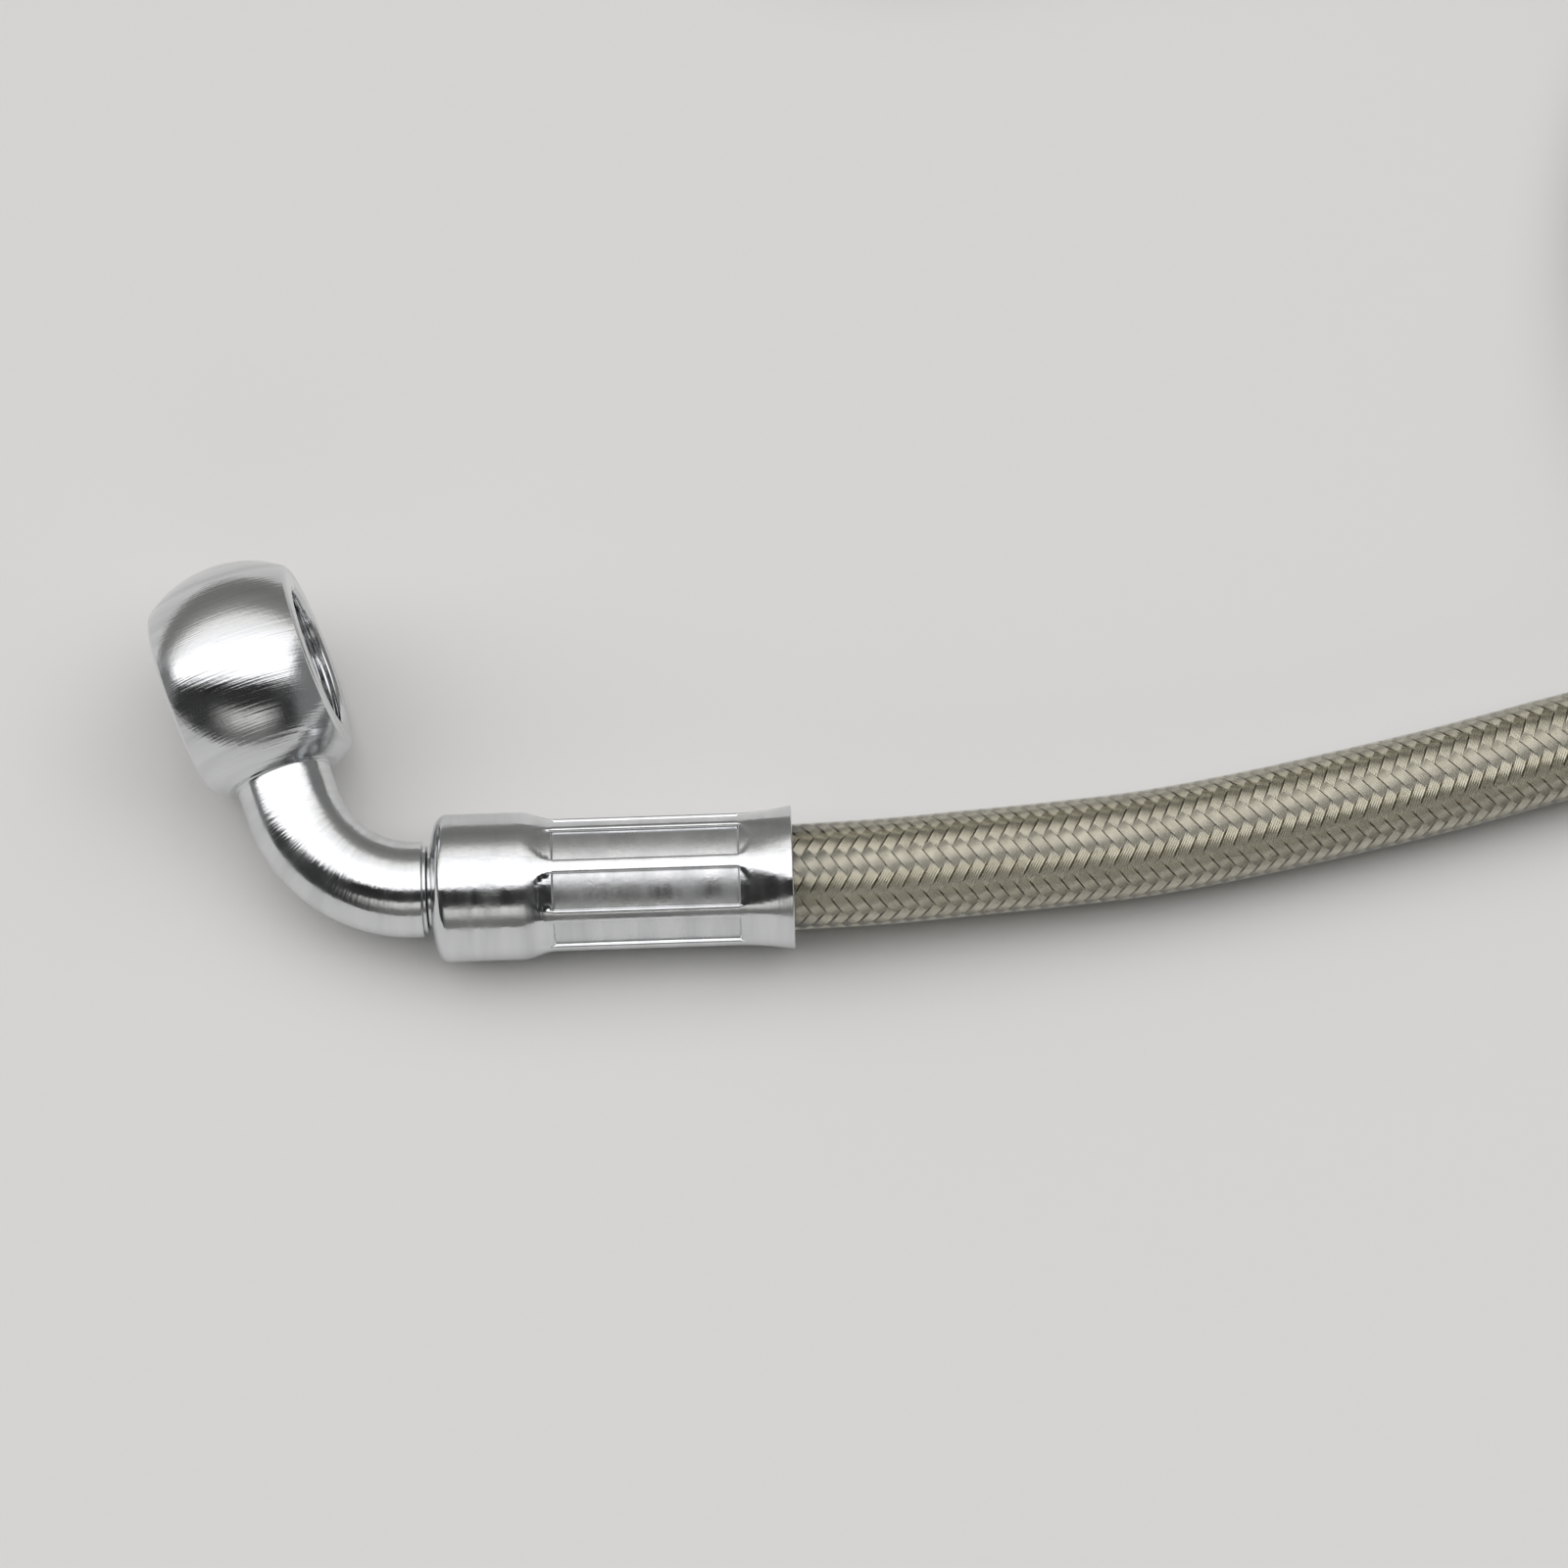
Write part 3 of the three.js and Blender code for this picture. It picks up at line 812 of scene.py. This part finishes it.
# Ferrules
def ferrule_rows():
    """Rows of (station, radius of a panel, radius of a ridge, half width of a ridge) outside."""
    rows = []
    face_ring = WALL_BORE + END_FACE_RING
    for angle in np.linspace(0, math.pi / 2, SHOULDER_ROWS):
        radius = face_ring + (COLLAR_RADIUS - face_ring) * math.sin(angle)
        rows.append((COLLAR_SHOULDER * (1 - math.cos(angle)), radius, radius, LOBE_HALF_WIDTH))
    for station in np.linspace(COLLAR_FROM, COLLAR_END - ROW_GAP, COLLAR_ROWS):
        rows.append((station, COLLAR_RADIUS, COLLAR_RADIUS, LOBE_HALF_WIDTH))
    run_down = CRIMP_START - COLLAR_END + RUN_DOWN_PAST
    stepped = PANEL_RADIUS + PANEL_END_STEP
    for share in np.linspace(RUN_DOWN_FROM, 1, RUN_DOWN_ROWS):
        panel = COLLAR_RADIUS + (stepped - COLLAR_RADIUS) * ease(share)
        ridge = COLLAR_RADIUS + (RIDGE_RADIUS - COLLAR_RADIUS) * ease(share)
        narrowed = ease(share * RIDGE_NARROWS)
        width = LOBE_HALF_WIDTH + (RIDGE_HALF_WIDTH - LOBE_HALF_WIDTH) * narrowed
        rows.append((CRIMP_START - run_down * (1 - share), float(panel), float(ridge), float(width)))
    for share in np.linspace(STEP_FROM, 1, STEP_ROWS):
        panel = PANEL_RADIUS + PANEL_END_STEP * (1 - ease(share))
        station = CRIMP_START + PANEL_END_STEP * share
        rows.append((station, float(panel), RIDGE_RADIUS, RIDGE_HALF_WIDTH))
    for station in np.linspace(CRIMP_START + ROW_GAP, CRIMP_END - ROW_GAP, PANEL_ROWS):
        bow = PANEL_BOW * math.sin(math.pi * (station - CRIMP_START) / (CRIMP_END - CRIMP_START))
        rows.append((station, PANEL_RADIUS - bow, RIDGE_RADIUS, RIDGE_HALF_WIDTH))
    for share in np.linspace(0, 1 - STEP_FROM, STEP_ROWS):
        panel = PANEL_RADIUS + PANEL_END_STEP * ease(share)
        station = CRIMP_END - PANEL_END_STEP * (1 - share)
        rows.append((station, float(panel), RIDGE_RADIUS, RIDGE_HALF_WIDTH))
    for share in np.linspace(0, FLARE_TO, FLARE_ROWS):
        station = CRIMP_END + (FERRULE_LENGTH - RIM_EDGE - CRIMP_END) * share
        swell = float(share ** FLARE_CURVE)
        panel = stepped + (RIM_RADIUS - stepped) * swell
        ridge = RIDGE_RADIUS + (RIM_RADIUS - RIDGE_RADIUS) * swell
        widened = float(ease(share * RIDGE_WIDENS))
        width = RIDGE_HALF_WIDTH + (LOBE_HALF_WIDTH - RIDGE_HALF_WIDTH) * widened
        rows.append((station, panel, ridge, width))
    for angle in np.linspace(0, math.pi / 2, RIM_ROWS):
        station = FERRULE_LENGTH - RIM_EDGE * (1 - math.sin(angle))
        radius = RIM_RADIUS - RIM_EDGE * (1 - math.cos(angle))
        rows.append((station, radius, radius, LOBE_HALF_WIDTH))
    return rows


def ferrule_bore_rows():
    """The same rows inside, from the mouth back to the closed end."""
    bore = [
        (FERRULE_LENGTH, MOUTH_BORE + MOUTH_CHAMFER), (FERRULE_LENGTH - MOUTH_CHAMFER, MOUTH_BORE),
        (CRIMP_END, CRIMP_BORE + BORE_FLARE), (CRIMP_END - BORE_EASE, CRIMP_BORE),
        (CRIMP_START + BORE_EASE, CRIMP_BORE),
        (COLLAR_END, CAVITY_RADIUS), (END_WALL, CAVITY_RADIUS), (END_WALL, WALL_BORE), (0.0, WALL_BORE),
    ]
    return [(station, radius, radius, LOBE_HALF_WIDTH) for station, radius in bore]


def ferrule_columns():
    """Angles round the ferrule, and how far each is from the middle of its ridge, in millimetres."""
    pitch = TURN * RIDGE_RADIUS / RIDGES
    ridge = RIDGE_HALF_WIDTH * np.sin(np.linspace(-math.pi / 2, math.pi / 2, RIDGE_COLUMNS))
    panel = np.linspace(RIDGE_HALF_WIDTH, pitch - RIDGE_HALF_WIDTH, PANEL_COLUMNS)[1:-1]
    one = np.concatenate([ridge, panel])
    angles = np.concatenate([RIDGE_TURN + (i * pitch + one) / RIDGE_RADIUS for i in range(RIDGES)])
    return angles, np.tile(np.abs(np.where(one > pitch / 2, one - pitch, one)), RIDGES)


def ferrule_section(offsets, panel, ridge, width):
    """Radius at each column: a full ridge over the crimp, and a soft lobe where it runs out."""
    share = np.minimum(offsets / width, 1)
    full = (1 - share ** RIDGE_FULLNESS) ** (1 / RIDGE_FULLNESS)
    lobe = 0.5 + 0.5 * np.cos(math.pi * share)
    spread = (width - RIDGE_HALF_WIDTH) / (LOBE_HALF_WIDTH - RIDGE_HALF_WIDTH)
    flatter = (1 / PANEL_RADIUS - 1 / PANEL_CURVE_RADIUS) * (1 - spread)
    flat = (PANEL_MIDDLE - offsets) ** 2 / 2 * flatter
    foot = panel + np.minimum(flat, ridge - panel)
    return foot + (ridge - foot) * (full + (lobe - full) * spread)


def pressed_faces(stations, offsets, outside):
    """Marks the faces of the panels, which the crimping die presses dull."""
    edge = RIDGE_HALF_WIDTH - ROUNDING
    across = (offsets >= edge) & (np.roll(offsets, -1) >= edge)
    along = (stations >= CRIMP_START) & (np.roll(stations, -1) <= CRIMP_END)
    along &= np.arange(len(stations)) < outside - 1
    return np.outer(along, across).astype(np.int32).ravel()


def ferrule_piece(name, mouth):
    outside = ferrule_rows()
    rows = outside + ferrule_bore_rows()
    angles, offsets = ferrule_columns()
    spots = []
    marks = []
    travelled = 0.0
    last = rows[0][:2]
    for station, panel, ridge, width in rows:
        travelled += math.dist(last, (station, panel))
        last = (station, panel)
        radius = ferrule_section(offsets, panel, ridge, width)
        along = np.full_like(angles, station)
        spots.append(np.column_stack([along, -radius * np.sin(angles), radius * np.cos(angles)]))
        marks.append(np.column_stack([np.full_like(angles, travelled), angles / TURN]))
    faces = grid_faces(len(rows), len(angles), wrap_rows=True)
    piece = mesh_piece(name, np.vstack(spots), faces, np.vstack(marks))
    piece.data.transform(closed_end(mouth))
    face_out(piece)
    piece.data.materials.append(zinc_crimped)
    piece.data.materials.append(zinc_pressed)
    stations = np.array([row[0] for row in rows])
    pressed = pressed_faces(stations, offsets, len(outside))
    piece.data.polygons.foreach_set("material_index", pressed)
    piece.data.set_sharp_from_angle(angle=SHARP_PRESSED)
    return piece


# Hose: liner, wire braid and clear jacket
def round_tube(name, radius, step, segments, material):
    start = -IN_MOUTH
    end = hose.length + IN_MOUTH
    stations = np.linspace(start, end, int((end - start) / step) + 1)
    angles = TURN * np.arange(segments) / segments
    spots = hose.surface(stations[:, None], angles[None, :], radius).reshape(-1, 3)
    faces = grid_faces(len(stations), segments)
    faces.append(tuple(range(segments)))
    faces.append(tuple((len(stations) - 1) * segments + i for i in range(segments)))
    piece = mesh_piece(name, spots, faces)
    face_out(piece)
    piece.data.materials.append(material)
    return piece


def strand_profile(wires):
    """Across one strand: offsets in millimetres and heights of its side-by-side wires."""
    if wires == 1:
        return np.array([-0.5, 0.0, 0.5]) * WIRES * WIRE_PITCH, np.array(FLAT_STRAND)
    offsets = []
    heights = []
    for wire in range(wires):
        middle = (wire - (wires - 1) / 2) * WIRE_PITCH
        for place in WIRE_PLACES:
            offsets.append(middle + place * WIRE_PITCH)
            heights.append(WIRE_PITCH * (math.sqrt(max(0.0, 0.25 - place ** 2)) - WIRE_SINK))
    offsets.append(-offsets[0])
    heights.append(heights[0])
    return np.array(offsets), np.array(heights)


def braid_piece(name, direction, start, end, wires, steps_per_wave):
    """All the strands that wind one way, passing over two and under two of the others."""
    lay = math.atan(TURN * BRAID_RADIUS / BRAID_LEAD)
    step = WAVE_CROSSINGS * BRAID_LEAD / (2 * CARRIERS) / steps_per_wave
    stations = np.arange(start, end, step)
    offsets, heights = strand_profile(wires)
    columns = len(offsets)
    rows = len(stations)
    across_strand = np.tile(offsets / WIRE_PITCH + WIRES / 2, rows)
    spots = []
    marks = []
    faces = []
    for carrier in range(CARRIERS):
        crossing = 2 * carrier + direction * 2 * CARRIERS * stations / BRAID_LEAD
        wave = direction * np.cos(TURN * (crossing - 0.5) / WAVE_CROSSINGS)
        middle = direction * TURN * stations / BRAID_LEAD + TURN * carrier / CARRIERS
        along = stations[:, None] - direction * offsets[None, :] * math.sin(lay)
        angle = middle[:, None] + offsets[None, :] * math.cos(lay) / BRAID_RADIUS
        radius = BRAID_RADIUS + WEAVE_DEPTH * wave[:, None] + heights[None, :]
        spots.append(hose.surface(along, angle, radius).reshape(-1, 3))
        marks.append(np.column_stack([across_strand, np.repeat(stations, columns)]))
        faces += grid_faces(rows, columns, wrap_columns=False, start=carrier * rows * columns)
    piece = mesh_piece(name, np.vstack(spots), faces, np.vstack(marks))
    piece.data.materials.append(braid_wire if wires > 1 else braid_strand)
    return piece


# Tie round the coil
def tie_outline():
    """Half a turn under the lower hose and half a turn over the upper one."""
    outline = []
    for base, layers in ((math.pi, 0), (0.0, 1)):
        for i in range(TIE_STEPS + 1):
            angle = base + math.pi * i / TIE_STEPS
            lift = FLOOR_LAYER + TIE_LIFT + layers * LAYER_STEP
            outline.append((math.cos(angle), math.sin(angle), lift))
    return outline


def tie_piece():
    outline = tie_outline()
    rows = []
    for half_width, grow in TIE_SECTION:
        radius = HOSE_RADIUS + TIE_CLEARANCE + grow * TIE_THICKNESS
        across = half_width * TIE_WIDTH
        rows.append([(COIL_RADIUS + radius * out, across, lift + radius * up) for out, up, lift in outline])
    spots = np.array(rows).reshape(-1, 3)
    spots[:, 2] = np.maximum(spots[:, 2], TIE_ABOVE_FLOOR)
    cosine = math.cos(TIE_TURN)
    sine = math.sin(TIE_TURN)
    turn = np.array([[cosine, sine, 0], [-sine, cosine, 0], [0, 0, 1]])
    place = np.array([MOUTH.x / MM + COIL_CENTRE[0], MOUTH.y / MM + COIL_CENTRE[1], 0])
    faces = grid_faces(len(rows), len(outline), wrap_rows=True)
    piece = mesh_piece("tie_strap", spots @ turn + place, faces)
    face_out(piece)
    piece.data.materials.append(strap)
    piece.data.set_sharp_from_angle(angle=SHARP_PRESSED)
    return piece


# Floor and light
def add_floor():
    mesh = bpy.data.meshes.new("floor")
    corners = [(x * FLOOR_REACH, y * FLOOR_REACH, 0) for x, y in ((-1, -1), (1, -1), (1, 1), (-1, 1))]
    mesh.from_pydata(corners, [], [(0, 1, 2, 3)])
    floor = bpy.data.objects.new("floor", mesh)
    bpy.context.scene.collection.objects.link(floor)
    material, _, shader = new_material("floor")
    shader.inputs["Base Color"].default_value = (*FLOOR_COLOUR, 1)
    shader.inputs["Roughness"].default_value = FLOOR_ROUGHNESS
    mesh.materials.append(material)


def sky_ramp(tree, angle):
    """Soft bands from the near horizon over the top to the far one."""
    ramp = tree.nodes.new("ShaderNodeValToRGB")
    elements = ramp.color_ramp.elements
    while len(elements) < len(SKY_BANDS):
        elements.new(0.5)
    for element, (degrees, _) in zip(elements, SKY_BANDS):
        element.position = (degrees + 180) / 360
    for element, (_, level) in zip(elements, SKY_BANDS):
        blue = WHITE_BLUE if level > 1 else WARM_BLUE
        element.color = (level, level * WARM_GREEN, level * blue, 1)
    tree.links.new(ranged(tree, angle, (-math.pi, math.pi), (0.0, 1.0)), ramp.inputs["Fac"])
    return ramp.outputs["Color"]


def over_light(tree, factor, under, level):
    """Lays a plain grey of one level over the light."""
    node = tree.nodes.new("ShaderNodeMix")
    node.data_type = "RGBA"
    node.inputs["B"].default_value = (level, level, level, 1)
    tree.links.new(factor, node.inputs["Factor"])
    tree.links.new(under, node.inputs["A"])
    return node.outputs["Result"]


def add_light():
    """A soft studio: white overhead, a grey backdrop beyond, and a dark strip on the near side."""
    world = bpy.data.worlds.new("studio")
    bpy.context.scene.world = world
    world.use_nodes = True
    tree = world.node_tree
    background = tree.nodes["Background"]
    place = tree.nodes.new("ShaderNodeTexCoord")
    sideways, ahead, up = split_vector(tree, place.outputs["Generated"])
    angle = math_node(tree, "ARCTAN2", ahead, up)
    near = math_node(tree, "LESS_THAN", angle, NEAR_SIDE)
    aside = ranged(tree, math_node(tree, "ABSOLUTE", sideways), NEAR_DARK_SPREAD, (0.0, 1.0))
    right = ranged(tree, sideways, WHITE_TO_RIGHT, (0.0, 1.0))
    left = ranged(tree, sideways, WHITE_TO_LEFT, (0.0, 1.0))
    light = over_light(tree, math_node(tree, "MULTIPLY", near, aside), sky_ramp(tree, angle), NEAR_DARK)
    light = over_light(tree, math_node(tree, "ADD", right, left, clamp=True), light, BACKDROP)
    tree.links.new(light, background.inputs["Color"])
    background.inputs["Strength"].default_value = 1.0


add_camera()
add_floor()
add_light()

hose = hose_centreline()
marks_group = turning_marks_group()
wear_group = handling_group()

zinc_turned = zinc_material("zinc plate, turned", lines_per_mm=5.5, mark_depth=0.012)
zinc_bored = zinc_material("zinc plate, bored", lines_per_mm=2.6, mark_depth=0.06)
zinc_crimped = zinc_material("zinc plate, crimped", lines_per_mm=4.0, mark_depth=0.008)
zinc_pressed = zinc_material("zinc plate, pressed", lines_per_mm=4.0, mark_depth=0.012, roughness=0.27)
braid_wire = wire_material("stainless braid", relief=0.0)
braid_strand = wire_material("stainless braid, far stretch", relief=STRAND_RELIEF)
liner_plastic = liner_material()
clear_jacket = jacket_material()
strap = strap_material()

near_banjo = banjo_piece("near_banjo_turned", BEND, CORNER_TO_EYE, EYE_TWIST, near_place())
straight_reach = STRAIGHT_EYE_TO_FERRULE - CORNER_TO_FERRULE
far_banjo = banjo_piece("far_banjo_turned", 0.0, straight_reach, 0.0, far_place())
near_ferrule = ferrule_piece("near_ferrule_crimped", MOUTH)
far_ferrule = ferrule_piece("far_ferrule_crimped", FAR_MOUTH)

hose_end = hose.length + IN_MOUTH
braids = [
    braid_piece("braid_right_seen", 1, -IN_MOUTH, SEEN_HOSE, WIRES, SEEN_STEPS),
    braid_piece("braid_left_seen", -1, -IN_MOUTH, SEEN_HOSE, WIRES, SEEN_STEPS),
    braid_piece("braid_right_rest", 1, SEEN_HOSE - LAP, hose_end, 1, REST_STEPS),
    braid_piece("braid_left_rest", -1, SEEN_HOSE - LAP, hose_end, 1, REST_STEPS),
]
liner = round_tube("hose_liner", LINER_RADIUS, LINER_STEP, LINER_SEGMENTS, liner_plastic)
jacket = round_tube("hose_jacket", HOSE_RADIUS, JACKET_STEP, JACKET_SEGMENTS, clear_jacket)
tie = tie_piece()

for node, material in (
    ("near_liner_end", liner_plastic), ("far_liner_end", liner_plastic), ("near_braid_end", braid_wire),
    ("far_braid_end", braid_wire), ("near_jacket_end", clear_jacket), ("far_jacket_end", clear_jacket),
):
    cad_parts[node].data.materials.clear()
    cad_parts[node].data.materials.append(material)

for piece, finish in (
    (near_banjo, "zinc_plate"), (far_banjo, "zinc_plate"), (near_ferrule, "zinc_plate"),
    (far_ferrule, "zinc_plate"), (liner, "liner"), (jacket, "clear_jacket"), (tie, "tie"),
    *((braid, "braid") for braid in braids),
):
    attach(piece, "root")

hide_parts("near_banjo")
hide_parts("far_banjo")
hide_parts("near_ferrule")
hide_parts("far_ferrule")
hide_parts("hose_free", "hose_coil", "hose_tail")
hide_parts("coil_tie")

bpy.context.scene.view_settings.view_transform = "Standard"
